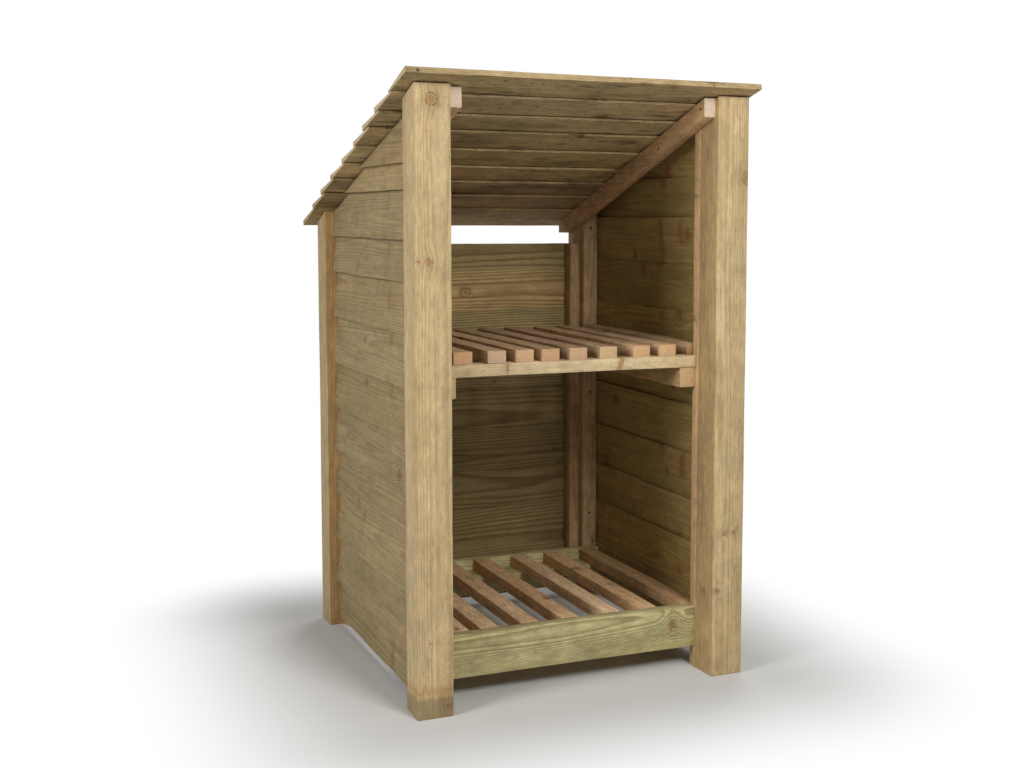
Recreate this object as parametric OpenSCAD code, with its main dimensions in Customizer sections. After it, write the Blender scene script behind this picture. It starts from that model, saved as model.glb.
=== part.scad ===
// Open-fronted timber log store: four square posts under a lean-to roof of lapped
// boards, lapped boards on battens round three sides, a slatted floor and a slatted shelf.
// Millimetres. +Z is up, the open front faces -Y, and the origin is on the ground under
// the middle of the roof's plan.

/* [Frame] */
// Width over the posts
frame_w = 745; // [560:5:1300]
// Depth over the posts
frame_d = 790; // [600:5:1100]
// Height of the front posts at their front face
front_h = 1260; // [1000:5:1600]
// Pitch of the roof in degrees
roof_pitch = 18.8; // [12:0.1:22]
// Side of each square post
post_side = 75; // [60:1:95]

/* [Roof] */
// Roof past the posts on the left
over_left = 30; // [10:1:60]
// Roof past the posts on the right
over_right = 10; // [5:1:60]
// Roof past the posts at the front
over_front = 40; // [20:1:80]
// Roof past the posts at the back
over_back = 35; // [20:1:80]
// Width of each rafter
rafter_w = 27; // [20:1:45]
// Depth of each rafter, square to its length
rafter_depth = 38; // [30:1:70]
// How far each rafter's front end stands behind the posts' front face
rafter_setback = 13; // [0:1:30]
// How far each roof board laps over the one below it
roof_lap = 26; // [15:1:45]

/* [Boards] */
// Width of a tapered board
board_w = 125; // [100:1:160]
// Thickness of a board at its thick edge
board_butt = 12; // [10:0.5:18]
// Thickness of a board at its thin edge
board_thin = 5; // [3:0.5:8]
// How far each wall board laps over the one below it
wall_lap = 18; // [12:1:40]
// Ground clearance under the wall boards
wall_rise = 20; // [5:1:40]
// Air gap between the top of the back wall and the roof
air_gap = 68; // [45:1:150]

/* [Battens] */
// Width of a batten
batten_w = 38; // [30:1:50]
// Thickness of a batten
batten_t = 26; // [18:1:35]

/* [Shelf] */
// Height of the bearers' top
shelf_seat = 676; // [500:1:760]
// Width of each bearer
bearer_w = 38; // [25:1:50]
// Height of each bearer
bearer_h = 44; // [30:1:60]
// Distance from the front posts' back face to the bearers' front end
bearer_setback = 13; // [2:1:25]
// Distance from the front posts' back face to the shelf rail and slats
shelf_setback = 10; // [2:1:30]
// Gap between the back end of the shelf and the back posts
shelf_back_gap = 60; // [50:1:250]
// Number of shelf slats
shelf_slats = 9; // [5:1:9]
// Depth of each shelf rail from front to back
rail_d = 38; // [25:1:50]

/* [Floor] */
// Height of the floor's top
floor_top = 141; // [120:1:220]
// Height of the floor's front and back boards
floor_board_h = 92; // [80:1:110]
// Thickness of the floor's front and back boards
floor_board_t = 25; // [18:1:35]
// Depth of each cleat under the floor slats' ends, from front to back
cleat_d = 74; // [40:1:95]
// Thickness of each cleat
cleat_t = 19; // [14:0.5:26]
// Number of floor slats
floor_slats = 7; // [4:1:7]

/* [Slats] */
// Width of a slat
slat_w = 41; // [30:1:45]
// Thickness of a slat
slat_t = 26; // [20:1:32]

/* [Hidden] */
// Gap left where one piece bears on another
seat = 0.2;
// Gap left where one lapped board bears on the next
lap_gap = 0.3;
// Gap at the ends of the boards and rails that stand between two others
end_gap = 0.5;
// Gap between the ends of the wall boards and the posts
board_end_gap = 1.5;
// Smallest strip of wall board worth nailing on
least_strip = 30;
// Narrowest board that finishes the roof at the front
least_front_board = 70;
// Gap behind the posts before the floor's front board
floor_setback = 2;
// Gap between the back board of the floor and the side walls' boards
floor_side_gap = 3;
// How far each left wall board's cover departs from the nominal one, from the bottom up
left_wander = [-13, 0, 4, -1, 1, 0, 3, 1, -21, -6, -54];
// The same for the right wall's boards
right_wander = [10, -10, 0, 5, -1, -1, -1, 1, -15, -8, -52];
// The same for the back wall's boards
back_wander = [-1, -8, 3, -7, -2, -6, -3, -7];
// The same for the roof boards, from the eave up
roof_wander = [2, -2, -3, 6, 4, -13, -2, 6];
// How far each shelf slat is nailed from an even spacing, from the left
shelf_wander = [0, 5, -2, -12, -17, -16, -5, -10, 0];
// The same for the floor slats
floor_wander = [27, -2, -5, -7, -1, -6, 0];
// Distance from the left posts' inner face to the first shelf slat
shelf_first = 32;
// How far the last shelf slat runs past the right posts' inner face
shelf_last = 28;
// How far the last shelf slat is set back from the others
last_slat_setback = 19;
// Distance from the left posts' inner face to the first floor slat
floor_first = 3;
// How far the last floor slat runs past the right posts' inner face
floor_last = 18;

roof_fall = tan(roof_pitch);
roof_w = frame_w + over_left + over_right;
roof_d = frame_d + over_front + over_back;
left_x = over_left - roof_w / 2;
right_x = left_x + frame_w;
mid_x = (left_x + right_x) / 2;
front_y = over_front - roof_d / 2;
back_y = front_y + frame_d;
// Inner faces of the posts
in_left_x = left_x + post_side;
in_right_x = right_x - post_side;
in_front_y = front_y + post_side;
in_back_y = back_y - post_side;
in_w = in_right_x - in_left_x;
// Cover of each board, which is what its neighbour's lap leaves
wall_cover = board_w - wall_lap;
roof_cover = board_w - roof_lap;
// Length up the slope from the front edge to the eave
roof_run = (roof_d - board_butt * sin(roof_pitch)) / cos(roof_pitch);
// From the frame's middle to the outer face of the side battens
side_plane = frame_w / 2 - post_side + batten_w;
back_plane = in_back_y + batten_w;
back_wall_top = roof_z(back_plane) - air_gap;
// Heights and depths that the slats follow
slat_front_y = in_front_y + shelf_setback;
slat_back_y = in_back_y - shelf_back_gap;
rail_top = shelf_seat + slat_t;
floor_front_y = in_front_y + floor_setback;
floor_back_y = in_back_y - batten_t - seat - floor_board_t;
floor_slat_seat = floor_top - slat_t;

// Height of the roof boards' underside at a given depth
function roof_z(y) = front_h - (y - front_y) * roof_fall;

// Entry k of a list, or 0 past its end
function entry(list, k) = k < len(list) ? list[k] : 0;

// Bottom edges of a wall's boards, from one at height z until the strip left is too small
function wall_lines(wander, z, top, k = 0) =
    z > top - least_strip ? [] :
    concat([z], wall_lines(wander, z + wall_cover + entry(wander, k), top, k + 1));

// Lower edges of the roof boards, measured from the front edge, from the eave upwards
function roof_lines(s, k = 0) =
    s < least_front_board + roof_cover ? [s] :
    concat([s], roof_lines(s - roof_cover - entry(roof_wander, k), k + 1));

// How far a board's outer face stands out, a share u of its width up from its thick edge
function face_out(stand, u) = (stand + board_butt) * (1 - u) + board_thin * u;

// How far the thick edge of board k stands off the battens, over the boards before it
function stand(lines, k) =
    k == 0 ? 0 :
    lap_gap + face_out(stand(lines, k - 1), abs(lines[k] - lines[k - 1]) / board_w);

// Outline of a lapped board as [height, distance out]
function board_outline(low, off) =
    [[low, off], [low, off + board_butt], [low + board_w, board_thin], [low + board_w, 0]];

// Front-to-back outline of an upright whose top follows the roof
function upright(y, depth) =
    [[y, 0], [y + depth, 0], [y + depth, roof_z(y + depth)], [y, roof_z(y)]];

// Places of n slats whose outer edges run from x0 to x1
function slat_x(k, n, x0, x1, wander) =
    x0 + k * (x1 - x0 - slat_w) / (n - 1) + entry(wander, k);

// A solid with a front-to-back outline, w wide, from x towards the right
module across(x, w, outline)
{
    translate([x, 0, 0])
        rotate([90, 0, 90])
            linear_extrude(w)
                polygon(outline);
}

module block(x0, x1, y0, y1, z0, z1)
{
    translate([x0, y0, z0])
        cube([x1 - x0, y1 - y0, z1 - z0]);
}

module post(x, y)
{
    color("burlywood")
        across(x, post_side, upright(y, post_side));
}

// Side batten, flush with the posts' inner faces
module side_batten(side, y)
{
    color("tan")
        across(mid_x + side * (side_plane - batten_w / 2) - batten_w / 2, batten_w,
               upright(y, batten_t));
}

module back_batten(x)
{
    color("tan")
        block(x, x + batten_t, in_back_y + seat, in_back_y + batten_w, 0, back_wall_top);
}

// Rafter, its tail cut level below from the back wall outwards
module rafter(x)
{
    drop = rafter_depth / cos(roof_pitch);
    y0 = front_y + rafter_setback;
    tail_z = roof_z(back_plane) - drop;
    color("peru")
        across(x, rafter_w,
               [[y0, roof_z(y0)], [y0, roof_z(y0) - drop], [back_plane, tail_z],
                [back_y, tail_z], [back_y, roof_z(back_y)]]);
}

module roof_boards()
{
    lines = roof_lines(roof_run);
    last = len(lines) - 1;
    front_off = stand(lines, last);
    color("darkkhaki")
        translate([-roof_w / 2, -roof_d / 2, roof_z(-roof_d / 2) + seat])
            rotate([-roof_pitch, 0, 0]) {
                for (k = [0:last - 1])
                    across(0, roof_w,
                           [[lines[k] - board_w, 0], [lines[k], stand(lines, k)],
                            [lines[k], stand(lines, k) + board_butt],
                            [lines[k] - board_w, board_thin]]);
                // The front board has its thick edge to the front
                across(0, roof_w,
                       [[0, 0], [lines[last], front_off],
                        [lines[last], front_off + board_thin], [0, board_butt]]);
            }
}

// Lapped boards on the outer face of one side's battens, cut to the roof's slope
module side_boards(side, wander)
{
    top = roof_z(in_front_y);
    lines = wall_lines(wander, wall_rise, top);
    y0 = in_front_y + board_end_gap;
    y1 = in_back_y - board_end_gap;
    base_x = side_plane + seat;
    color("darkkhaki")
        intersection() {
            for (k = [0:len(lines) - 1])
                translate([mid_x, y1, 0])
                    rotate([90, 0, 0])
                        linear_extrude(y1 - y0)
                            polygon([for (p = board_outline(lines[k], stand(lines, k)))
                                     [side * (base_x + p[1]), p[0]]]);
            across(-roof_w, 2 * roof_w,
                   [[y0 - 1, 0], [y1 + 1, 0], [y1 + 1, roof_z(y1 + 1) - seat],
                    [y0 - 1, roof_z(y0 - 1) - seat]]);
        }
}

module back_wall_boards()
{
    lines = wall_lines(back_wander, wall_rise, back_wall_top);
    x0 = in_left_x + board_end_gap;
    color("darkkhaki")
        intersection() {
            for (k = [0:len(lines) - 1])
                across(x0, in_w - 2 * board_end_gap,
                       [for (p = board_outline(lines[k], stand(lines, k)))
                        [back_plane + seat + p[1], p[0]]]);
            block(-roof_w, roof_w, in_back_y, back_y + roof_d, 0, back_wall_top);
        }
}

module shelf_bearer(side)
{
    x = mid_x + side * (in_w / 2 - seat - bearer_w / 2);
    color("wheat")
        block(x - bearer_w / 2, x + bearer_w / 2, in_front_y + bearer_setback,
              in_back_y - end_gap, shelf_seat - bearer_h, shelf_seat);
}

module shelf_rail(y)
{
    color("wheat")
        block(in_left_x + end_gap, in_right_x - end_gap, y, y + rail_d,
              shelf_seat + seat, rail_top);
}

module shelf_slat(k)
{
    x = slat_x(k, shelf_slats, in_left_x + shelf_first, in_right_x + shelf_last, shelf_wander);
    setback = k == shelf_slats - 1 ? last_slat_setback : 0;
    color("sandybrown")
        block(x, x + slat_w, slat_front_y + setback, slat_back_y,
              rail_top + seat, rail_top + slat_t);
}

module floor_front_board()
{
    color("palegoldenrod")
        block(in_left_x + end_gap, in_right_x - end_gap, floor_front_y,
              floor_front_y + floor_board_t, floor_top - floor_board_h, floor_top);
}

module floor_back_board()
{
    half = side_plane - floor_side_gap;
    color("tan")
        block(mid_x - half, mid_x + half, floor_back_y, floor_back_y + floor_board_t,
              floor_top - floor_board_h, floor_top);
}

module floor_cleat(y)
{
    color("tan")
        block(in_left_x + end_gap, in_right_x - end_gap, y, y + cleat_d,
              floor_slat_seat - cleat_t, floor_slat_seat);
}

module floor_slat(k)
{
    x = slat_x(k, floor_slats, in_left_x + floor_first, in_right_x + floor_last, floor_wander);
    color("burlywood")
        block(x, x + slat_w, floor_front_y + floor_board_t + seat, floor_back_y - seat,
              floor_slat_seat + seat, floor_top);
}

post(left_x, front_y);  // front_left_post
post(in_right_x, front_y);  // front_right_post
post(left_x, in_back_y);  // back_left_post
post(in_right_x, in_back_y);  // back_right_post
rafter(in_left_x + seat);  // left_rafter
rafter(in_right_x - seat - rafter_w);  // right_rafter
roof_boards();
side_boards(-1, left_wander);  // left_wall_boards
side_batten(-1, in_front_y + seat);  // left_front_batten
side_batten(-1, in_back_y - seat - batten_t);  // left_back_batten
side_boards(1, right_wander);  // right_wall_boards
side_batten(1, in_front_y + seat);  // right_front_batten
side_batten(1, in_back_y - seat - batten_t);  // right_back_batten
back_wall_boards();
back_batten(in_left_x + seat);  // back_wall_left_batten
back_batten(in_right_x - seat - batten_t);  // back_wall_right_batten
shelf_bearer(-1);  // shelf_left_bearer
shelf_bearer(1);  // shelf_right_bearer
shelf_rail(slat_front_y);  // shelf_front_rail
shelf_rail(slat_back_y - rail_d);  // shelf_back_rail
floor_front_board();
floor_back_board();
floor_cleat(floor_front_y + floor_board_t + seat);  // floor_front_cleat
floor_cleat(floor_back_y - seat - cleat_d);  // floor_back_cleat
for (k = [1:shelf_slats])
    shelf_slat(k - 1);
for (k = [1:floor_slats])
    floor_slat(k - 1);
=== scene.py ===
"""Looks of an open-fronted timber log store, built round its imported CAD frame.

Every stick and board is modelled at the place its CAD node has, then dressed in softwood:
a solid pattern of year rings, knots, fibres and treatment stains that runs through each
piece along its own grain. Metres; +Z is up and the open front faces -Y.
"""
import logging
import math
import random
from collections.abc import Callable, Iterator, Sequence
from contextlib import contextmanager
from dataclasses import dataclass, field
from enum import Enum

import bpy
import numpy as np
from mathutils import Matrix, Vector


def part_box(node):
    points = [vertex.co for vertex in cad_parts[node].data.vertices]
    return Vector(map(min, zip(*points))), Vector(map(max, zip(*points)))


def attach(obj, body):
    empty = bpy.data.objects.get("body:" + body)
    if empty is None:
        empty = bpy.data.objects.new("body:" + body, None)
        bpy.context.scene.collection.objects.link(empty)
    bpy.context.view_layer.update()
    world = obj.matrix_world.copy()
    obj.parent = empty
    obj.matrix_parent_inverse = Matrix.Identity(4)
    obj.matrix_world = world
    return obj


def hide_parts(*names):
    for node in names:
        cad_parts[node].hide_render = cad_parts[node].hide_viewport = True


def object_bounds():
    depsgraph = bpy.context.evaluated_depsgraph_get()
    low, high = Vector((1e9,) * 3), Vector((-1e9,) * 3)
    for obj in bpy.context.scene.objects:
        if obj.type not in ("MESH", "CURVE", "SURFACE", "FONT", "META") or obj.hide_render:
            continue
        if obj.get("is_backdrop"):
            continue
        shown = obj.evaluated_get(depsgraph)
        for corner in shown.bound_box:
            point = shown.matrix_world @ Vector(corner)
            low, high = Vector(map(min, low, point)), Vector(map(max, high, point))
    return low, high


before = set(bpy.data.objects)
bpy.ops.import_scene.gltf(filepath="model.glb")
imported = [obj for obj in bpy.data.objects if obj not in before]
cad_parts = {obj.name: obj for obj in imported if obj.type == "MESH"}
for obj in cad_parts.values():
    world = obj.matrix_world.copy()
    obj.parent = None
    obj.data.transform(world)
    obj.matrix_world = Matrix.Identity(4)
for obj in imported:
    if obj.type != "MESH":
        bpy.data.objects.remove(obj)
CAD_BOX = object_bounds()

log = logging.getLogger("log_store")

Piece = bpy.types.Object
Material = bpy.types.Material
Socket = bpy.types.NodeSocket
Triple = tuple[float, float, float]
Box = tuple[Vector, Vector]
Test = Callable[[Vector], bool]
Plane = tuple[Vector, Vector]

SHARP_DEGREES = 40
SMOOTH_DEGREES = 35
SAME_PLACE = 0.00005  # Corners of a CAD mesh this near each other are one corner
ON_END = 0.85  # Cosine above which a face looks along the grain
ALONG = 0.9  # Cosine above which an edge runs along an axis
ON_FACE = 0.0003  # A corner this near a face lies on it
TINT_CHANGE = (0.3, 0.7)  # Shares of a piece's length between which its colour changes
SIDE_BOARDS = 12  # Boards of a side wall
WARP_GAIN = 3.2  # Strength of the wave texture for a departure of 1


class Axis(Enum):
    """A direction of the shared frame."""

    X = 0
    Y = 1
    Z = 2

    @property
    def unit(self) -> Vector:
        """The direction as a unit vector."""
        return Vector([1.0 if k == self.value else 0.0 for k in range(3)])

    @property
    def across(self) -> tuple["Axis", "Axis"]:
        """The two directions square to this one."""
        return Axis((self.value + 1) % 3), Axis((self.value + 2) % 3)


def middle(node: str, axis: Axis) -> float:
    """The middle of a CAD node's box along an axis."""
    low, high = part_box(node)
    return (low[axis.value] + high[axis.value]) / 2


def every(co: Vector) -> bool:
    """Passes every point of a mesh."""
    return True


def paint(red: float, green: float, blue: float) -> Triple:
    """Turns a colour as it looks on screen into scene-linear values.

    Args:
        red: Level of red, 0 to 255.
        green: Level of green.
        blue: Level of blue.

    Returns:
        The colour.
    """
    def linear(level: float) -> float:
        """One channel in linear light."""
        c = level / 255.0
        return c / 12.92 if c <= 0.04045 else ((c + 0.055) / 1.055) ** 2.4
    return linear(red), linear(green), linear(blue)


# ---------------------------------------------------------------- shader maths


def _pair(operation: str, flipped: bool = False) -> Callable[["Strand", object], "Strand"]:
    """Makes a method that joins a strand and another value in one node.

    Args:
        operation: The node's operation.
        flipped: Whether the other value goes first.

    Returns:
        The method.
    """
    def method(self: "Strand", other: object) -> "Strand":
        """The result of the operation."""
        return self.maths(operation, *((other, self) if flipped else (self, other)))
    return method


class Strand:
    """A shader socket that maths can be written with, for numbers and for vectors or colours."""

    def __init__(self, graph: "ShaderGraph", socket: Socket) -> None:
        """Wraps an output socket of a node.

        Args:
            graph: The node's graph.
            socket: The socket.
        """
        self.graph = graph
        self.socket = socket
        self.wide = socket.type in {"VECTOR", "RGBA"}

    def maths(self, operation: str, *values: object) -> "Strand":
        """Adds the Math or Vector Math node for an operation.

        Args:
            operation: The node's operation.
            values: What goes into its inputs, in order.

        Returns:
            The result.
        """
        if any(isinstance(v, Strand) and v.wide for v in values):
            values = tuple((v, v, v) if isinstance(v, (int, float)) else v for v in values)
            return self.graph.node("VectorMath", {"operation": operation}, dict(enumerate(values)))
        return self.graph.node("Math", {"operation": operation}, dict(enumerate(values)))

    __add__, __radd__ = _pair("ADD"), _pair("ADD", True)
    __sub__, __rsub__ = _pair("SUBTRACT"), _pair("SUBTRACT", True)
    __mul__, __rmul__ = _pair("MULTIPLY"), _pair("MULTIPLY", True)
    __truediv__, __gt__ = _pair("DIVIDE"), _pair("GREATER_THAN")
    least, most = _pair("MINIMUM"), _pair("MAXIMUM")
    angle_to = _pair("ARCTAN2")  # Angle of the point (other, self) round the origin

    def __neg__(self) -> "Strand":
        """The value with its sign turned."""
        return self.maths("MULTIPLY", self, -1.0)

    def __abs__(self) -> "Strand":
        """The value without its sign."""
        return self.maths("ABSOLUTE", self)

    def fract(self) -> "Strand":
        """What is left above the whole number."""
        return self.maths("FRACT", self)

    def root(self) -> "Strand":
        """Square root."""
        return self.maths("SQRT", self)

    def exp(self) -> "Strand":
        """e to this power."""
        return self.maths("EXPONENT", self)

    def ramp(self, start: float, end: float, low: float = 0.0, high: float = 1.0) -> "Strand":
        """Goes smoothly from low at start to high at end.

        Args:
            start: Value at which the change begins.
            end: Value at which it is complete.
            low: Result at start.
            high: Result at end.

        Returns:
            The eased value.
        """
        return self.graph.node(
            "MapRange", {"interpolation_type": "SMOOTHSTEP"},
            {"Value": self, "From Min": start, "From Max": end, "To Min": low, "To Max": high})

    def bell(self, centre: float, width: float) -> "Strand":
        """1 at centre, falling to nearly 0 at two widths from it."""
        offset = (self - centre) * (1.0 / width)
        return (-(offset * offset)).exp()

    def split(self) -> tuple["Strand", "Strand", "Strand"]:
        """The three components of a vector or colour."""
        parts = [self.graph.node("SeparateXYZ", {}, {"Vector": self}, out) for out in "XYZ"]
        return parts[0], parts[1], parts[2]


class ShaderGraph:
    """The node tree of a material or of the world."""

    def __init__(self, owner: Material | bpy.types.World) -> None:
        """Opens the tree, which starts with an output and a shader.

        Args:
            owner: The material or the world.
        """
        owner.use_nodes = True
        self.owner = owner
        self.tree = owner.node_tree
        self.shader = next(n for n in self.tree.nodes if n.type in {"BSDF_PRINCIPLED", "BACKGROUND"})

    def node(self, kind: str, settings: dict[str, object], inputs: dict[object, object],
             out: object = 0) -> Strand:
        """Adds a node.

        Args:
            kind: The node's type, without the ShaderNode before it.
            settings: Its properties, set before its inputs.
            inputs: Values or strands by input name or number.
            out: Name or number of the output wanted.

        Returns:
            That output.
        """
        made = self.tree.nodes.new("ShaderNode" + kind)
        for key, value in settings.items():
            setattr(made, key, value)
        for key, value in inputs.items():
            self.feed(made.inputs[key], value)
        return Strand(self, made.outputs[out])

    def feed(self, socket: Socket, value: object) -> None:
        """Links a strand to a socket, or sets the socket's own value.

        Args:
            socket: The input.
            value: A strand, a number, or three or four numbers.
        """
        if isinstance(value, Strand):
            self.tree.links.new(value.socket, socket)
        elif socket.type == "RGBA":
            socket.default_value = (*value, 1.0)
        else:
            socket.default_value = value

    def seen(self) -> Strand:
        """Tells what the eye sees from light that falls on other things.

        Returns:
            1 for what is seen straight, reflected or through glass, and 0 for other light.
        """
        rays = [self.node("LightPath", {}, {}, f"Is {kind} Ray")
                for kind in ("Camera", "Glossy", "Transmission")]
        return (rays[0] + rays[1] + rays[2]).least(1.0)

    def attribute(self, name: str, out: str = "Vector") -> Strand:
        """A value stored on the mesh."""
        return self.node("Attribute", {"attribute_name": name}, {}, out)

    def noise(self, place: Strand, density: float | Triple, detail: float = 2.0, rough: float = 0.5,
              out: str = "Fac") -> Strand:
        """Soft random pattern.

        Args:
            place: Coordinates in metres.
            density: Spots per metre, the same in each direction or one number for each.
            detail: Finer layers added.
            rough: Strength of the finer layers.
            out: "Fac" for a number or "Color" for three.

        Returns:
            The pattern, 0 to 1.
        """
        return self.node("TexNoise", {},
                         {"Vector": place * density, "Scale": 1.0, "Detail": detail, "Roughness": rough}, out)

    def blend(self, share: object, first: object, second: object) -> Strand:
        """Colour that goes from first to second as share goes from 0 to 1."""
        return self.node("Mix", {"data_type": "RGBA"}, {0: share, 6: first, 7: second}, 2)

    def combine(self, x: object, y: object, z: object = 0.0) -> Strand:
        """A vector made of three numbers."""
        return self.node("CombineXYZ", {}, {"X": x, "Y": y, "Z": z})

    def finish(self, height: Strand, depth: float, strength: float, **sockets: object) -> Material:
        """Feeds the shader and its bump.

        Args:
            height: Pattern for the bump, 0 to 1.
            depth: What 1 stands for, in metres.
            strength: How strongly the bump shows.
            sockets: Values or strands by shader input, with _ for a space.

        Returns:
            The finished material.
        """
        for key, value in sockets.items():
            self.feed(self.shader.inputs[key.replace("_", " ")], value)
        bump = self.node("Bump", {}, {"Strength": strength, "Distance": depth, "Height": height},
                         "Normal")
        self.feed(self.shader.inputs["Normal"], bump)
        return self.owner


# ---------------------------------------------------------------- finishes


@dataclass(frozen=True)
class Knot:
    """A knot at a known place: centre, radius, and how it is squeezed and slanted."""

    centre: Triple
    radius: float
    shape: Triple = (1.0, 0.35, 0.85)
    slant: float = 0.0


@dataclass(frozen=True)
class TimberFinish:
    """Pressure-treated sawn softwood.

    The pattern follows three attributes of the mesh: grain holds a point's place in the
    log, tint the board's own colour plus painted shade and light on some pieces, and cut is 1 on sawn end
    faces.
    """

    name: str
    early: Triple
    late: Triple
    end: Triple
    stain: Triple = paint(120, 112, 66)
    knot: Triple = paint(150, 98, 54)
    rim: Triple = paint(78, 48, 26)
    contrast: float = 0.5
    stain_share: float = 0.35
    ring_width: float = 0.0031
    wander: float = 0.012
    knot_share: float = 0.45
    knot_size: float = 1.0
    fibre: float = 1.0
    sooty: float = 0.0
    bands: tuple[float, ...] = ()
    band_colour: Triple = paint(138, 96, 56)
    band_width: float = 0.012
    band_axis: Axis = Axis.Y
    foot: float = 0.0
    foot_rim: Triple = paint(176, 126, 70)
    foot_damp: Triple = paint(120, 106, 76)
    swirl: float = 0.006
    mottled: float = 1.0
    relief: float = 0.0009
    relief_strength: float = 0.55
    gloss: float = 0.25
    knots: tuple[Knot, ...] = ()

    def material(self) -> Material:
        """Builds the finish.

        Returns:
            The material.
        """
        g = ShaderGraph(bpy.data.materials.new(self.name))
        grain = g.attribute("grain")
        tint = g.attribute("tint")
        cut = g.attribute("cut", "Fac")
        place = g.node("TexCoord", {}, {}, "Object")

        drift = g.noise(grain, (5.0, 5.0, 1.3), 1.0, out="Color") - 0.5
        shiver = g.noise(grain, (60.0, 60.0, 9.0), 2.0, out="Color") - 0.5
        x, y, z = (grain + drift * self.wander + shiver * 0.0013).split()
        radius = (x * x + y * y).root()
        near = self.nearest_knot(g, y.angle_to(x), radius, z, place)
        push = (near * near * -0.17).exp()

        phase = (radius + push * self.swirl) / self.ring_width + g.noise(grain, (14.0, 14.0, 1.5), 1.0) * 2.0
        turn = phase.fract()
        late = turn.ramp(0.25, 0.85) * (1.0 - turn.ramp(0.88, 1.0))
        thin_fibre = g.noise(grain, (700.0, 700.0, 16.0), 2.0, 0.6) - 0.5
        long_fibre = g.noise(grain, (170.0, 170.0, 3.2), 2.0, 0.55) - 0.5
        cloud = g.noise(grain, (16.0, 16.0, 4.5), 3.0, 0.6)
        broad = g.noise(grain, (7.0, 7.0, 1.6), 2.0, 0.5)

        wood = g.blend(late * self.contrast, self.early, self.late)
        stain = (cloud + broad * 0.8).ramp(0.8, 1.25) * self.stain_share
        wood = g.blend(stain, wood, self.stain)
        mottle = g.noise(grain, (110.0, 110.0, 34.0), 3.0, 0.65) - 0.5
        fuzz = g.noise(place, 430.0, 2.0, 0.6) - 0.5
        wood = wood * (1.0 + thin_fibre * (0.34 * self.fibre) + long_fibre * (0.42 * self.fibre)
                       + mottle * (0.95 * self.mottled) + fuzz * (0.7 * self.mottled))
        wood = wood * (1.0 + (g.noise(place, 21.0, 2.0) - 0.5) * (0.5 * self.mottled))
        wood = wood * (1.06 - push * 0.22)
        wood = self.weathered(g, wood, place, grain, cloud, long_fibre)

        blotch = g.noise(place, 190.0, 2.0).ramp(0.32, 0.6, 0.35, 1.0)
        wood = g.blend(near.ramp(0.5, 1.3, 0.8, 0.0) * blotch, wood, self.knot)
        wood = wood * (1.0 - near.bell(0.45, 0.13) * 0.2 - near.bell(0.0, 0.2) * 0.3)
        edge = near.bell(1.0, 0.16) * g.noise(place, 240.0, 1.0).ramp(0.4, 0.62)
        wood = g.blend(edge * 0.75, wood, self.rim)

        # Checks darken the colour as painted shade inside the splits; the bump also sinks them.
        check = g.noise(grain, (130.0, 130.0, 1.6), 3.0, 0.65).ramp(0.70, 0.76) * cloud.ramp(0.42, 0.6)
        wood = wood * (1.0 - check * 0.45)

        sawn = g.blend(late * 0.5, self.end, self.late)
        sawn = sawn * (0.94 + thin_fibre * 0.3 + (g.noise(place, 320.0, 2.0) - 0.5) * 0.5)
        sawn = g.blend(near.ramp(0.8, 1.2, 0.7, 0.0), sawn, self.knot)
        colour = g.blend(cut, wood, sawn) * tint

        kerf = g.noise(grain, (25.0, 25.0, 260.0), 1.0) - 0.5
        height = (0.5 + thin_fibre * 0.5 + fuzz * 0.4 + mottle * 0.4 + late * 0.1 + kerf * 0.3 - check * 0.5
                  - edge * 0.2)
        rough = 0.82 - late * 0.1 + thin_fibre * 0.16 + cut * 0.06
        return g.finish(height, self.relief, self.relief_strength, Base_Color=colour, Roughness=rough,
                        Specular_IOR_Level=self.gloss)

    def nearest_knot(self, g: ShaderGraph, angle: Strand, radius: Strand, z: Strand,
                     place: Strand) -> Strand:
        """Distance to the nearest knot, in knot radii.

        Args:
            g: The graph.
            angle: Direction from the pith.
            radius: Distance from the pith.
            z: Distance along the log.
            place: Object coordinates.

        Returns:
            Below 1 inside a knot and 1 at its rim.
        """
        round_rate, long_rate = 0.95, 3.4
        spot = g.combine(angle * round_rate, z * long_rate)
        cell = {"voronoi_dimensions": "2D"}, {"Vector": spot, "Scale": 1.0, "Randomness": 0.95}
        at_angle, at_z, _ = g.node("TexVoronoi", *cell, "Position").split()
        size, chance, _ = g.node("TexVoronoi", *cell, "Color").split()
        aside = (angle - at_angle / round_rate) * radius
        along = (z - at_z / long_rate) * 0.8
        reach = (0.0022 + size * size * 0.0085) * self.knot_size
        near = (aside * aside + along * along).root() / reach + (chance > self.knot_share) * 60.0
        for knot in self.knots:
            px, py, pz = ((place - knot.centre) * knot.shape).split()
            px = px + pz * knot.slant
            own = (px * px + py * py + pz * pz).root() / knot.radius
            near = near.least(own)
        return near + (g.noise(place, 130.0, 2.0) - 0.5) * 0.7

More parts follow.
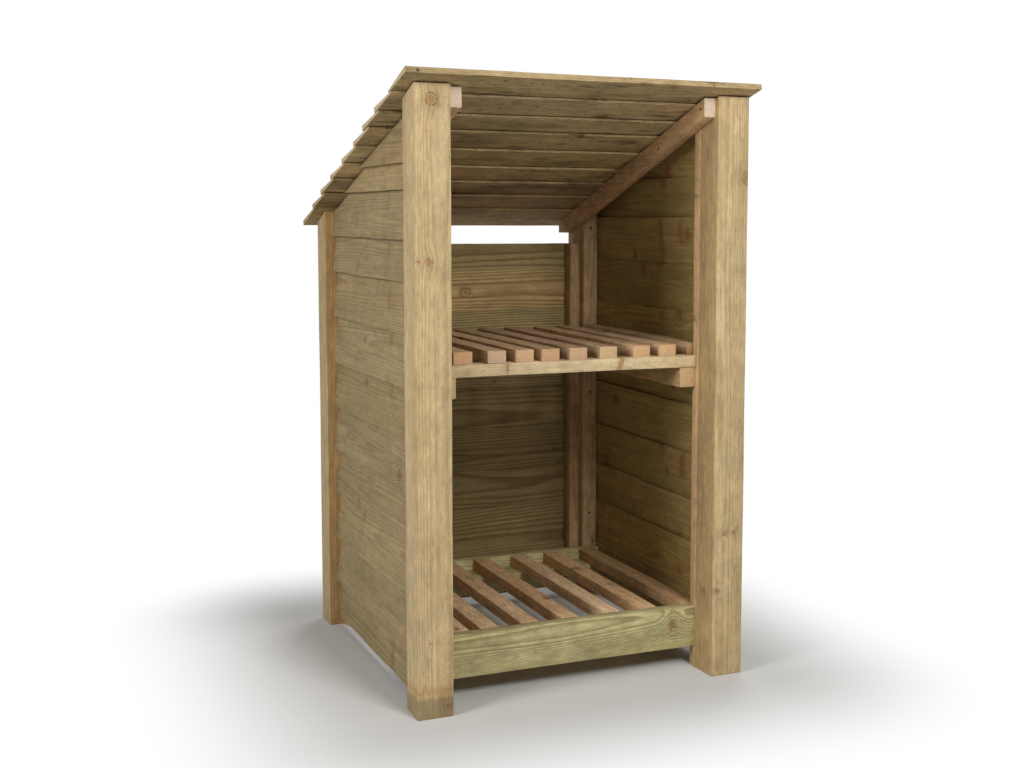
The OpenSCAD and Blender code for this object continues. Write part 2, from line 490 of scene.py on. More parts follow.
    def weathered(self, g: ShaderGraph, wood: Strand, place: Strand, grain: Strand, cloud: Strand,
                  long_fibre: Strand) -> Strand:
        """Adds what lies on the wood: sticker bands, soot and the mark of wet ground.

        Args:
            g: The graph.
            wood: Colour of the wood.
            place: Object coordinates.
            grain: Place in the log.
            cloud: Soft pattern that breaks the marks up.
            long_fibre: Streaks along the grain.

        Returns:
            The weathered colour.
        """
        parts = place.split()
        if self.bands:
            sway = g.noise(place, (0.5, 0.5, 7.5), 1.0) - 0.5
            across = parts[self.band_axis.value] + (cloud - 0.5) * 0.02 + sway * 0.09
            for band in self.bands:
                patch = g.noise(place + (band, 0.0, 0.0), (6.0, 2.0, 13.0), 1.0).ramp(0.52, 0.66)
                wood = g.blend(across.bell(band, self.band_width) * patch * 0.6, wood, self.band_colour)
        if self.sooty:
            spots = g.noise(place, 70.0, 4.0, 0.7).ramp(0.58, 0.72)
            smears = g.noise(grain, (38.0, 38.0, 7.0), 3.0, 0.65).ramp(0.58, 0.7)
            wood = wood * (1.0 - spots * self.sooty) * (1.0 - smears * (self.sooty * 0.7))
        if self.foot:
            level = parts[2] + long_fibre * 0.012 + (cloud - 0.5) * 0.03
            wood = g.blend(level.bell(self.foot + 0.01, 0.009) * 0.45, wood, self.foot_rim)
            wood = g.blend(level.ramp(self.foot - 0.009, self.foot + 0.004, 0.6, 0.0), wood, self.foot_damp)
        return wood


@dataclass(frozen=True)
class NailFinish:
    """Dull galvanised steel, dark in patches: partly hammer marks and rust, partly painted shade of the holes
    the heads sit in.
    """

    name: str = "dull_steel"
    bright: Triple = paint(112, 104, 92)
    dark: Triple = paint(52, 42, 32)

    def material(self) -> Material:
        """Builds the finish.

        Returns:
            The material.
        """
        g = ShaderGraph(bpy.data.materials.new(self.name))
        place = g.node("TexCoord", {}, {}, "Object")
        patch = g.noise(place, 420.0, 3.0, 0.6)
        share = patch.ramp(0.35, 0.65)
        return g.finish(patch, 0.0003, 0.5, Base_Color=g.blend(share, self.dark, self.bright),
                        Roughness=0.55 + patch * 0.3, Metallic=share * 0.5)


# ---------------------------------------------------------------- modelling


class Bench:
    """Modelling moves that every sub-assembly uses."""

    @staticmethod
    def pick(*pieces: Piece) -> None:
        """Selects only these pieces, the first one active."""
        bpy.ops.object.select_all(action="DESELECT")
        for piece in pieces:
            piece.select_set(True)
        bpy.context.view_layer.objects.active = pieces[0]

    @staticmethod
    def mark(piece: Piece, test: Test) -> None:
        """Selects the corners of a mesh that pass a test.

        Args:
            piece: The piece.
            test: Says whether a point is wanted.
        """
        mesh = piece.data
        mesh.polygons.foreach_set("select", [False] * len(mesh.polygons))
        mesh.edges.foreach_set("select", [False] * len(mesh.edges))
        mesh.vertices.foreach_set("select", [test(v.co) for v in mesh.vertices])
        Bench.pick(piece)
        bpy.context.tool_settings.mesh_select_mode = (True, False, False)

    @staticmethod
    @contextmanager
    def editing() -> Iterator[None]:
        """Works in edit mode for as long as it is open.

        Yields:
            Nothing: the piece that is active is the one in edit mode.
        """
        bpy.ops.object.mode_set(mode="EDIT")
        yield
        bpy.ops.object.mode_set(mode="OBJECT")

    @staticmethod
    def add(name: str, operator: Callable[..., object], **settings: object) -> Piece:
        """Adds an object.

        Args:
            name: Its name.
            operator: The operator that makes it.
            settings: The operator's settings.

        Returns:
            The object.
        """
        bpy.ops.object.select_all(action="DESELECT")
        operator(**settings)
        made = bpy.context.active_object
        made.name = name
        return made

    @staticmethod
    def bake(piece: Piece) -> None:
        """Puts a piece's place in its mesh."""
        Bench.pick(piece)
        bpy.ops.object.transform_apply(location=True, rotation=True, scale=True)

    @staticmethod
    def block(name: str, low: Vector, high: Vector) -> Piece:
        """Sawn block between two corners, its place in its mesh.

        Args:
            name: Name of the piece.
            low: Lowest corner.
            high: Highest corner.

        Returns:
            The block.
        """
        piece = Bench.add(name, bpy.ops.mesh.primitive_cube_add, size=1.0, location=(low + high) / 2,
                          scale=high - low)
        Bench.bake(piece)
        return piece

    @staticmethod
    def stations(piece: Piece, axis: Axis, count: int) -> None:
        """Divides the edges that run along an axis, so that the piece can bow.

        Args:
            piece: The piece.
            axis: The direction of its length.
            count: Number of cuts.
        """
        mesh = piece.data
        Bench.mark(piece, lambda co: False)
        for edge in mesh.edges:
            a, b = (mesh.vertices[k].co for k in edge.vertices)
            edge.select = abs((b - a).normalized().dot(axis.unit)) > ALONG
        bpy.context.tool_settings.mesh_select_mode = (False, True, False)
        with Bench.editing():
            bpy.ops.mesh.subdivide(number_cuts=count)

    @staticmethod
    def saw(piece: Piece, point: Vector, normal: Vector) -> None:
        """Saws off what lies on the normal's side of a plane and closes the cut.

        Args:
            piece: The piece.
            point: A point of the plane.
            normal: Its normal, towards the waste.
        """
        Bench.mark(piece, every)
        with Bench.editing():
            bpy.ops.mesh.select_all(action="SELECT")
            bpy.ops.mesh.bisect(plane_co=point, plane_no=normal, use_fill=True, clear_outer=True)

    @staticmethod
    def shift(piece: Piece, test: Test, by: Triple) -> None:
        """Moves the corners that pass a test.

        Args:
            piece: The piece.
            test: Says whether a point is wanted.
            by: The move.
        """
        Bench.mark(piece, test)
        with Bench.editing():
            bpy.ops.transform.translate(value=by)

    @staticmethod
    def stretch(piece: Piece, test: Test, by: Triple, about: Triple) -> None:
        """Scales the corners that pass a test.

        Args:
            piece: The piece.
            test: Says whether a point is wanted.
            by: The scale along each axis.
            about: The point that stays.
        """
        Bench.mark(piece, test)
        with Bench.editing():
            bpy.ops.transform.resize(value=by, center_override=about)

    @staticmethod
    def ease(piece: Piece, width: float, segments: int = 2) -> None:
        """Takes the sharpness off every arris.

        Args:
            piece: The piece.
            width: Width of the eased edge.
            segments: Facets across it.
        """
        Bench.pick(piece)
        bpy.context.tool_settings.mesh_select_mode = (False, True, False)
        with Bench.editing():
            bpy.ops.mesh.select_all(action="DESELECT")
            bpy.ops.mesh.edges_select_sharp(sharpness=math.radians(SHARP_DEGREES))
            bpy.ops.mesh.bevel(offset=width, offset_type="OFFSET", segments=segments, profile=0.5)

    @staticmethod
    def warp(piece: Piece, axis: Axis, amount: float, size: float) -> None:
        """Lets the piece wander off straight along one axis.

        Args:
            piece: The piece.
            axis: Direction in which it wanders.
            amount: About the greatest departure either way.
            size: Length of a wave.
        """
        Bench.pick(piece)
        bpy.ops.object.modifier_add(type="DISPLACE")
        bow = piece.modifiers[-1]
        waves = bpy.data.textures.new(f"{piece.name}_{axis.name}", "CLOUDS")
        waves.noise_scale = size
        waves.noise_depth = 1
        bow.texture = waves
        bow.texture_coords = "LOCAL"
        bow.direction = axis.name
        bow.mid_level = 0.5
        bow.strength = amount * WARP_GAIN
        bpy.ops.object.modifier_apply(modifier=bow.name)

    @staticmethod
    def copy(piece: Piece, name: str) -> Piece:
        """Makes a copy with its own mesh.

        Args:
            piece: The piece.
            name: Name of the copy.

        Returns:
            The copy.
        """
        Bench.pick(piece)
        bpy.ops.object.duplicate(linked=False)
        made = bpy.context.active_object
        made.name = name
        made.data.name = name
        return made

    @staticmethod
    def join(name: str, pieces: Sequence[Piece]) -> Piece:
        """Joins pieces into one.

        Args:
            name: Its name.
            pieces: The pieces, which are used up.

        Returns:
            The joined piece.
        """
        Bench.pick(*pieces)
        bpy.ops.object.join()
        pieces[0].name = name
        pieces[0].data.name = name
        return pieces[0]

    @staticmethod
    def settle(piece: Piece, matrix: Matrix) -> None:
        """Turns and moves a piece, and puts its new place in its mesh."""
        piece.matrix_world = matrix
        Bench.bake(piece)

    @staticmethod
    def discard(*pieces: Piece) -> None:
        """Removes patterns that were only there to be copied."""
        for piece in pieces:
            bpy.data.meshes.remove(piece.data)

    @staticmethod
    def smooth(piece: Piece) -> None:
        """Shades eased edges smoothly and keeps the flats flat."""
        Bench.pick(piece)
        bpy.ops.object.shade_smooth_by_angle(angle=math.radians(SMOOTH_DEGREES))


@dataclass
class Grain:
    """How a piece was cut from its log."""

    axis: Axis
    seed: int
    heart: tuple[float, float] = (0.02, 0.07)
    lean: float = 0.03
    tint: Triple = (1.0, 1.0, 1.0)
    far_tint: Triple | None = None
    end_tint: Triple = (1.0, 1.0, 1.0)
    faces: tuple[tuple[Axis, int, Triple], ...] = ()

    def write(self, piece: Piece) -> None:
        """Writes the attributes that the timber finishes read.

        Args:
            piece: The finished mesh, still square to its axis.
        """
        mesh = piece.data
        dice = random.Random(self.seed)
        co = np.zeros(len(mesh.vertices) * 3, np.float32)
        mesh.vertices.foreach_get("co", co)
        co = co.reshape(-1, 3)
        low, high = co.min(0), co.max(0)
        middle = (low + high) / 2
        a, b = (k.value for k in self.axis.across)
        along = co[:, self.axis.value] - low[self.axis.value]
        away = dice.uniform(*self.heart)
        towards = dice.uniform(0.15, 0.85) * math.pi * dice.choice((-1, 1))
        lean_a, lean_b = dice.uniform(-1, 1) * self.lean, dice.uniform(-1, 1) * self.lean
        wide = high[a] - low[a] >= high[b] - low[b]
        flat_a, flat_b = (0.5, 1.0) if wide else (1.0, 0.5)
        grain = np.stack([
            co[:, a] - middle[a] + away * flat_a * math.cos(towards) + along * lean_a,
            co[:, b] - middle[b] + away * flat_b * math.sin(towards) + along * lean_b,
            along + dice.uniform(0.0, 40.0)], axis=1)
        ends = np.zeros(len(mesh.vertices), np.float32)
        for face in mesh.polygons:
            if abs(face.normal.dot(self.axis.unit)) > ON_END:
                ends[list(face.vertices)] = 1.0
        share = (along / max(float(along.max()), 1e-6))[:, None]
        first, last = TINT_CHANGE
        step = np.clip((share - first) / (last - first), 0.0, 1.0)
        tint = np.array(self.tint) * (1 - step) + np.array(self.far_tint or self.tint) * step
        # Single faces take a tint of their own here; on the posts these are painted shade.
        for axis, side, own in self.faces:
            edge = low[axis.value] if side < 0 else high[axis.value]
            on_face = np.abs(co[:, axis.value] - edge) < ON_FACE
            tint = np.where(on_face[:, None], np.array(own), tint)
        tint = np.where(ends[:, None] > 0.5, np.array(self.end_tint), tint)
        for name, kind, values in (("grain", "FLOAT_VECTOR", grain), ("tint", "FLOAT_VECTOR", tint),
                                   ("cut", "FLOAT", ends)):
            layer = mesh.attributes.new(name, kind, "POINT")
            layer.data.foreach_set("vector" if kind == "FLOAT_VECTOR" else "value",
                                   values.astype(np.float32).ravel())


def hand_over(piece: Piece, material: Material, slot: str | None,
              *nodes: str) -> None:
    """Dresses a finished piece, hangs it under the root body and hides the CAD nodes that it stands for.

    Args:
        piece: The piece.
        material: Its material.
        slot: Not used.
        nodes: CAD nodes that it stands for.
    """
    Bench.smooth(piece)
    piece.data.materials.clear()
    piece.data.materials.append(material)
    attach(piece, "root")
    if nodes:
        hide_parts(*nodes)
    log.info("%s: %d faces, %s", piece.name, len(piece.data.polygons), material.name)


@dataclass
class Slope:
    """The plane of the roof's underside, read from the posts."""

    front: Box = field(default_factory=lambda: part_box("front_left_post"))
    back: Box = field(default_factory=lambda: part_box("back_left_post"))

    @property
    def fall(self) -> float:
        """Drop for each metre towards the back."""
        return (self.front[1].z - self.back[1].z) / (self.back[0].y - self.front[0].y)

    @property
    def pitch(self) -> float:
        """Pitch in radians."""
        return math.atan(self.fall)

    @property
    def point(self) -> Vector:
        """A point of the plane."""
        return Vector((0.0, self.front[0].y, self.front[1].z))

    @property
    def normal(self) -> Vector:
        """The plane's normal, upwards."""
        return Vector((0.0, math.sin(self.pitch), math.cos(self.pitch)))

    def height(self, y: float) -> float:
        """Height of the plane at a depth."""
        return self.point.z - (y - self.point.y) * self.fall


# ---------------------------------------------------------------- sticks


@dataclass
class Stick:
    """A straight piece of sawn timber that takes one CAD node's place."""

    node: str
    grain: Grain
    arris: float = 0.0012
    bow: float = 0.0006
    pitch: float = 0.06
    cuts: tuple[Plane, ...] = ()
    waves: tuple[float, float] = (0.34, 0.23)

    def build(self, material: Material, slot: str) -> None:
        """Models the stick and hands it over.

        Args:
            material: Its finish.
            slot: Passed on to hand_over.
        """
        low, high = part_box(self.node)
        piece = Bench.block(self.node + "_timber", low, high)
        length = (high - low)[self.grain.axis.value]
        Bench.stations(piece, self.grain.axis, max(3, round(length / self.pitch)))
        for point, normal in self.cuts:
            Bench.saw(piece, point, normal)
        self.work(piece, material, slot)

    def follow(self, pattern: Piece, pattern_node: str, material: Material, slot: str) -> None:
        """Copies a pattern stick to this one's place and hands it over.

        Args:
            pattern: The stick to copy, still square.
            pattern_node: The CAD node it was made to.
            material: Its finish.
            slot: Passed on to hand_over.
        """
        low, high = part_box(self.node)
        was_low, was_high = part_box(pattern_node)
        piece = Bench.copy(pattern, self.node + "_timber")
        size, was = high - low, was_high - was_low
        Bench.stretch(piece, every, [s / w for s, w in zip(size, was)], was_low)
        Bench.shift(piece, every, low - was_low)
        self.work(piece, material, slot)

    def work(self, piece: Piece, material: Material, slot: str) -> None:
        """Eases the stick's edges, writes its grain, bows it a little and hands it over.

        Args:
            piece: The stick, still square.
            material: Its finish.
            slot: Passed on to hand_over.
        """
        Bench.ease(piece, self.arris)
        self.grain.write(piece)
        for axis, wave in zip(self.grain.axis.across, self.waves):
            Bench.warp(piece, axis, self.bow, wave)
        hand_over(piece, material, slot, self.node)


@dataclass
class Posts:
    """Four square posts, their tops sawn to the roof's slope."""

    slope: Slope
    arris: float = 0.0022

    def build(self) -> None:
        """Models and dresses the posts."""
        base = dict(early=paint(198, 176, 136), late=paint(166, 134, 90), end=paint(190, 163, 122),
                    contrast=0.5, knot=paint(172, 126, 74), stain=paint(160, 138, 84), stain_share=0.35,
                    sooty=0.1, knot_share=0.03, ring_width=0.0036, swirl=0.004, mottled=0.85)
        left_low, left_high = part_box("front_left_post")
        right_low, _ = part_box("front_right_post")
        side = left_high.x - left_low.x
        tall = left_high.z

        def on_front(corner: Vector, across: float, up: float, radius: float) -> Knot:
            """A knot on a post's front face, its place given in shares of the face."""
            return Knot((corner.x + side * across, corner.y, tall * up), radius)

        cheek = Knot((right_low.x, right_low.y + side * 0.5, tall * 0.145), 0.006, (0.35, 1.0, 0.85))
        finishes = {
            "front_left_post": TimberFinish("pale_post_left", foot=0.046, knots=(
                on_front(left_low, 0.465, 0.975, 0.0105), on_front(left_low, 0.383, 0.7267, 0.0065),
                on_front(left_low, 0.09, 0.7269, 0.003), on_front(left_low, 0.34, 0.1237, 0.0022),
                on_front(left_low, 0.87, 0.018, 0.004)), **base),
            "front_right_post": TimberFinish("pale_post_right", knots=(
                on_front(right_low, 0.95, 0.864, 0.011), on_front(right_low, 0.17, 0.1518, 0.0055),
                on_front(right_low, 0.35, 0.2523, 0.004), on_front(right_low, 0.69, 0.252, 0.0045),
                cheek), **base),
        }
        rear_material = TimberFinish("pale_post_rear", **base).material()
        # Tints per post: the back posts are darker as painted shade at the back of the store; the front-right
        # post is a little darker.
        tints = {"front_left_post": (1.0, 1.0, 1.0), "front_right_post": (0.96, 0.95, 0.92),
                 "back_left_post": (0.86, 0.85, 0.83), "back_right_post": (0.88, 0.84, 0.8)}
        # Faces tinted on their own are painted shade: the front-left post's front, the front-right post's
        # inner side, and the back-left post's front, which is partly its own orange-brown too.
        faces = {"front_left_post": ((Axis.Y, -1, (0.95, 0.935, 0.9)),),
                 "front_right_post": ((Axis.X, -1, (0.9, 0.84, 0.76)),),
                 "back_left_post": ((Axis.Y, -1, (0.8, 0.66, 0.5)),)}
        for seed, (node, tint) in enumerate(tints.items()):
            grain = Grain(Axis.Z, 40 + seed, heart=(0.02, 0.05), lean=0.008, tint=tint, end_tint=tint,
                          faces=faces.get(node, ()))
            cut = ((self.slope.point, self.slope.normal),)
            material = finishes[node].material() if node in finishes else rear_material
            Stick(node, grain, self.arris, bow=0.0007, pitch=0.08, cuts=cut).build(material, "posts")


@dataclass
class Rafters:
    """Two rafters under the roof boards, their tails sawn level."""

    slope: Slope
    arris: float = 0.0012

    def build(self) -> None:
        """Models and dresses the rafters."""
        finish = TimberFinish(
            "warm_rafter", early=paint(200, 166, 124), late=paint(160, 122, 80), end=paint(226, 210, 188),
            stain=paint(112, 84, 50), stain_share=0.5, contrast=0.5, knot_share=0.2, sooty=0.2)
        material = finish.material()
        wall_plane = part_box("back_wall_left_batten")[1].y
        for seed, node in enumerate(("left_rafter", "right_rafter")):
            foot = Vector((0.0, wall_plane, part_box(node)[0].z))
            cuts = ((self.slope.point, self.slope.normal), (foot, -self.slope.normal))
            grain = Grain(Axis.Y, 60 + seed, heart=(0.03, 0.06), lean=0.01, end_tint=(1.0, 0.97, 0.95))
            Stick(node, grain, self.arris, bow=0.0005, pitch=0.07, cuts=cuts).build(material, "rafters")


@dataclass
class Battens:
    """Upright battens that carry the wall boards."""

    slope: Slope
    arris: float = 0.001

    def build(self) -> None:
        """Models and dresses the battens."""
        finish = TimberFinish(
            "warm_batten", early=paint(190, 162, 122), late=paint(154, 118, 76), end=paint(196, 168, 126),
            stain=paint(124, 98, 60), stain_share=0.45, contrast=0.5, knot_share=0.2, sooty=0.15)
        material = finish.material()
        top = ((self.slope.point, self.slope.normal),)
        names = [f"{side}_{end}_batten" for side in ("left", "right") for end in ("front", "back")]
        for seed, node in enumerate(names + ["back_wall_left_batten", "back_wall_right_batten"]):
            # The front battens are tinted brighter as painted light; the back-wall battens a little darker.
            tint = (1.0, 1.0, 1.0)
            if "back_wall" in node:
                tint = (0.96, 0.93, 0.9)
            elif "front" in node:
                tint = (1.28, 1.26, 1.24)
            grain = Grain(Axis.Z, 80 + seed, heart=(0.02, 0.06), lean=0.01, tint=tint)
            cuts = () if "back_wall" in node else top
            Stick(node, grain, self.arris, bow=0.0005, pitch=0.09, cuts=cuts).build(material, "battens")


@dataclass
class Shelf:
    """Slatted shelf on two bearers: a rail under each end of the slats."""

    slats: int = 9
    arris: float = 0.0011
    # Colours of the slats' cut ends, from the left, as shares of the finish; the last, darker end is painted
    # shade beside the post
    ends: tuple[Triple, ...] = ((0.98, 0.80, 0.66), (1.04, 0.96, 0.96), (1.06, 0.93, 0.82),
                                (0.97, 0.82, 0.70), (0.98, 0.86, 0.80), (1.03, 0.98, 0.86),
                                (1.06, 0.90, 0.74), (1.06, 0.90, 0.74), (0.7, 0.6, 0.5))

    def build(self) -> None:
        """Models and dresses the shelf."""
        self.frame()
        finish = TimberFinish(
            "pink_slat", early=paint(204, 176, 142), late=paint(166, 126, 88), end=paint(214, 188, 154),
            stain=paint(132, 102, 66), stain_share=0.45, contrast=0.5, knot_share=0.2, sooty=0.25)
        material = finish.material()
        first = "shelf_slat_1"
        pattern = Bench.block("shelf_slat_pattern", *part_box(first))
        Bench.stations(pattern, Axis.Y, 10)
        for k in range(self.slats):
            node = f"shelf_slat_{k + 1}"
            dice = random.Random(300 + k)
            shade = dice.uniform(0.86, 1.04)
            tint = (shade, shade * dice.uniform(0.93, 1.0), shade * dice.uniform(0.88, 1.0))
            grain = Grain(Axis.Y, 120 + k, heart=(0.01, 0.05), lean=0.012, tint=tint, end_tint=self.ends[k])
            Stick(node, grain, self.arris).follow(pattern, first, material, "shelf_slats")
        Bench.discard(pattern)

    def frame(self) -> None:
        """Models and dresses the bearers and rails."""
        low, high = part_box("shelf_front_rail")
        wide = high.x - low.x
        stripe = Knot((low.x + wide * 0.252, low.y, high.z - 0.010), 0.0018, (1.0, 0.35, 0.14), 0.2)
        patch = Knot((low.x + wide * 0.69, low.y, (low.z + high.z) / 2), 0.0055, (1.0, 0.35, 0.22), -1.0)
        base = dict(early=paint(204, 184, 146), late=paint(178, 148, 102), end=paint(206, 178, 136),
                    stain=paint(160, 136, 90), stain_share=0.3, contrast=0.4, knot_share=0.02,
                    knot=paint(186, 122, 66))
        rails = TimberFinish("straw_rail", knots=(stripe, patch), **base).material()
        base["early"], base["late"] = paint(184, 154, 112), paint(146, 110, 68)
        bearers = TimberFinish("straw_bearer", sooty=0.2, **base).material()
        for seed, node in enumerate(("shelf_front_rail", "shelf_back_rail")):
            grain = Grain(Axis.X, 100 + seed, heart=(0.02, 0.06), lean=0.01)
            Stick(node, grain, self.arris).build(rails, "shelf_frame")
        for seed, node in enumerate(("shelf_left_bearer", "shelf_right_bearer")):
            grain = Grain(Axis.Y, 110 + seed, heart=(0.02, 0.06), lean=0.01, end_tint=(1.0, 0.97, 0.93))
            Stick(node, grain, self.arris).build(bearers, "shelf_frame")


@dataclass
class Floor:
    """Slatted floor between a front and a back board, on cleats."""

    slats: int = 7
    arris: float = 0.0011
    # Colours of the slats from the left, at the front and at the back, as shares of the finish; the back ones
    # are darker and warmer as painted shade deep in the store
    near: tuple[Triple, ...] = ((0.95, 0.88, 0.84), (1.04, 0.98, 0.9), (1.06, 0.98, 0.94),
                                (0.98, 0.88, 0.78), (1.12, 1.08, 1.06), (0.98, 0.86, 0.74),
                                (0.78, 0.68, 0.58))
    far: tuple[Triple, ...] = ((0.92, 0.85, 0.8), (0.98, 0.88, 0.76), (0.9, 0.8, 0.74),
                               (0.96, 0.85, 0.72), (1.06, 1.02, 0.98), (0.95, 0.84, 0.7),
                               (0.72, 0.62, 0.5))

    def build(self) -> None:
        """Models and dresses the floor."""
        self.frame()
        finish = TimberFinish(
            "mixed_slat", early=paint(226, 200, 164), late=paint(190, 150, 108), end=paint(210, 184, 150),
            stain=paint(160, 122, 80), stain_share=0.4, contrast=0.5, knot_share=0.3, knot_size=0.9,
            sooty=0.3)
        material = finish.material()
        first = "floor_slat_1"
        pattern = Bench.block("floor_slat_pattern", *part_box(first))
        Bench.stations(pattern, Axis.Y, 12)
        for k in range(self.slats):
            node = f"floor_slat_{k + 1}"
            grain = Grain(Axis.Y, 160 + k, heart=(0.01, 0.05), lean=0.012, tint=self.near[k],
                          far_tint=self.far[k])
            Stick(node, grain, self.arris).follow(pattern, first, material, "floor_slats")
        Bench.discard(pattern)

    def frame(self) -> None:
        """Models and dresses the boards and cleats."""
        low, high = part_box("floor_front_board")
        knot = Knot((low.x + (high.x - low.x) * 0.905, low.y, high.z - 0.0385), 0.0095)
        base = dict(early=paint(192, 181, 134), late=paint(134, 120, 76), end=paint(190, 172, 126),
                    stain=paint(126, 120, 74), stain_share=0.35, knot_share=0.05, knot=paint(150, 92, 60))
        front = TimberFinish("green_straw_board", contrast=0.75, ring_width=0.0024, wander=0.02,
                             swirl=0.009, knots=(knot,), **base)
        rest = TimberFinish("green_straw", contrast=0.6, sooty=0.2, **base).material()
        grain = Grain(Axis.X, 143, heart=(0.06, 0.08), lean=0.01)
        Stick("floor_front_board", grain, self.arris).build(front.material(), "floor_frame")
        for seed, node in enumerate(("floor_back_board", "floor_front_cleat", "floor_back_cleat")):
            grain = Grain(Axis.X, 150 + seed, heart=(0.02, 0.06), lean=0.02,
                          tint=(0.92, 0.9, 0.86) if "cleat" in node else (1.0, 1.0, 1.0))
            Stick(node, grain, self.arris).build(rest, "floor_frame")


# ---------------------------------------------------------------- lapped boards


@dataclass
class Course:
    """One lapped board lying on the bench: X along it, Y up the wall, Z outwards."""

    low: float
    high: float
    start: float
    end: float
    stand: float
    thick_low: float
    thick_high: float

    def face(self, y: float) -> float:
        """Height of the outer face over the battens at a distance up the wall."""
        share = (y - self.low) / (self.high - self.low)
        return (self.stand + self.thick_low) * (1 - share) + self.thick_high * share


@dataclass
class LappedBoards:
    """A wall or roof of tapered boards, built flat on the bench and then put up."""

    node: str
    name: str
    slot: str
    up: Vector
    out: Vector
    seed: int
    thin: float = 0.005
    # Tints of the first courses on the bench; on the back wall and the roof they carry painted shade and
    # light.
    tints: tuple[Triple, ...] = ()
    reversed_last: bool = False
    trim: float = 0.0
    sway: float = 0.0016
    lift: float = 0.0007
    sway_length: float = 0.13
    lift_length: float = 0.21
    end_play: float = 0.0012
    nail_lines: tuple[float, ...] = ()
    nails_per_board: int = 1
    arris: float = 0.0007
    stations: int = 11
    nail_rise: float = 0.024
    nail_step: float = 0.045
    nail_play: tuple[float, float] = (0.005, 0.006)
    nail_edge: float = 0.008
    courses: list[Course] = field(default_factory=list)

    @property
    def bench(self) -> Matrix:
        """Matrix from the bench to the store."""
        along = self.up.cross(self.out)
        return Matrix((along, self.up, self.out)).transposed().to_4x4()

    def measure(self) -> float:
        """Reads each board's place from the CAD node.

        Returns:
            Height of the battens' plane on the bench.
        """
        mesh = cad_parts[self.node].data
        home: dict[tuple[int, int, int], int] = {}
        link: list[int] = []

        def root(k: int) -> int:
            """Follows the links from a corner to the one they end at.

            Args:
                k: The corner.

            Returns:
                The last corner.
            """
            while link[k] != k:
                k = link[k]
            return k
        spots: list[Vector] = []
        ids: list[int] = []
        for vertex in mesh.vertices:
            key = tuple(round(c / SAME_PLACE) for c in vertex.co)
            if key not in home:
                home[key] = len(link)
                link.append(len(link))
                spots.append(vertex.co.copy())
            ids.append(home[key])
        for face in mesh.polygons:
            corners = [root(ids[k]) for k in face.vertices]
            for corner in corners:
                link[root(corner)] = root(corners[0])
        inverse = self.bench.inverted()
        boards: dict[int, list[Vector]] = {}
        for k, spot in enumerate(spots):
            boards.setdefault(root(k), []).append(inverse @ spot)
        boxes = []
        for points in boards.values():
            low = Vector([min(p[k] for p in points) for k in range(3)])
            high = Vector([max(p[k] for p in points) for k in range(3)])
            boxes.append((low, high))
        boxes.sort(key=lambda box: box[0].y)
        base = min(low.z for low, _ in boxes)
        width = max(high.y - low.y for low, high in boxes[:3])
        start = min(low.x for low, _ in boxes)
        end = max(high.x for _, high in boxes)
        butt = boxes[0][1].z - base
        for k, (low, high) in enumerate(boxes):
            last = self.reversed_last and k == len(boxes) - 1
            first, second = (self.thin, butt) if last else (butt, self.thin)
            top = high.y if last else low.y + width
            self.courses.append(Course(low.y, top, start, end, high.z - base - first, first, second))
        return base

    def pattern(self) -> Piece:
        """Builds the board that every course is copied from.

        Returns:
            A board of unit size.
        """
        piece = Bench.block(self.name + "_pattern", Vector((0, 0, 0)), Vector((1, 1, 1)))
        Bench.stations(piece, Axis.X, self.stations)
        return piece

    def board(self, pattern: Piece, k: int, base: float, planes: Sequence[Plane]) -> Piece:
        """Shapes one board.

        Args:
            pattern: The unit board.
            k: Number of the course, from the lowest.
            base: Height of the battens' plane.
            planes: Planes on the bench that the board is sawn to.

        Returns:
            The board, its grain written.
        """
        course = self.courses[k]
        dice = random.Random(self.seed * 100 + k)
        piece = Bench.copy(pattern, f"{self.name}_board_{k}")
        Bench.stretch(piece, lambda co: co.y < 0.5, (1, 1, course.thick_low), (0, 0, 0))
        Bench.shift(piece, lambda co: co.y < 0.5, (0, 0, course.stand))
        Bench.stretch(piece, lambda co: co.y > 0.5, (1, 1, course.thick_high), (0, 0, 0))
        start = course.start + self.trim + dice.uniform(0, self.end_play)
        end = course.end - self.trim - dice.uniform(0, self.end_play)
        width = course.high - course.low - 2 * self.trim
        Bench.stretch(piece, every, (end - start, width, 1), (0, 0, 0))
        Bench.shift(piece, every, (start, course.low + self.trim, base))
        for point, normal in planes:
            if any((v.co - point).dot(normal) > 0 for v in piece.data.vertices):
                Bench.saw(piece, point, normal)
        if not piece.data.vertices:
            return piece
        Bench.ease(piece, self.arris, 1)
        shade = dice.uniform(0.9, 1.07)
        tint = self.tints[k] if k < len(self.tints) else (
            shade, shade * dice.uniform(0.97, 1.02), shade * dice.uniform(0.92, 1.03))
        end_tint = tuple(1.05 * c for c in tint)
        Grain(Axis.X, self.seed * 100 + k, heart=(0.03, 0.11), lean=0.014, tint=tint,
              end_tint=end_tint).write(piece)
        return piece

    def build(self, material: Material, nail_material: Material,
              planes: Sequence[Plane] = ()) -> None:
        """Builds, dresses and puts up the boards and their nails.

        Args:
            material: Finish of the boards.
            nail_material: Finish of the nails.
            planes: Planes of the store, with normals to the waste, that the boards are sawn to.
        """
        base = self.measure()
        bench = self.bench
        inverse = bench.inverted()
        turned = [(inverse @ point, inverse.to_3x3() @ normal) for point, normal in planes]
        pattern = self.pattern()
        boards = [self.board(pattern, k, base, turned) for k in range(len(self.courses))]
        Bench.discard(pattern)
        piece = Bench.join(self.name, boards)
        nails = self.nails(base, turned)
        for made in (piece, nails):
            Bench.warp(made, Axis.Y, self.sway, self.sway_length)
            Bench.warp(made, Axis.Z, self.lift, self.lift_length)
            Bench.settle(made, bench)
        hand_over(piece, material, self.slot, self.node)
        hand_over(nails, nail_material, None)

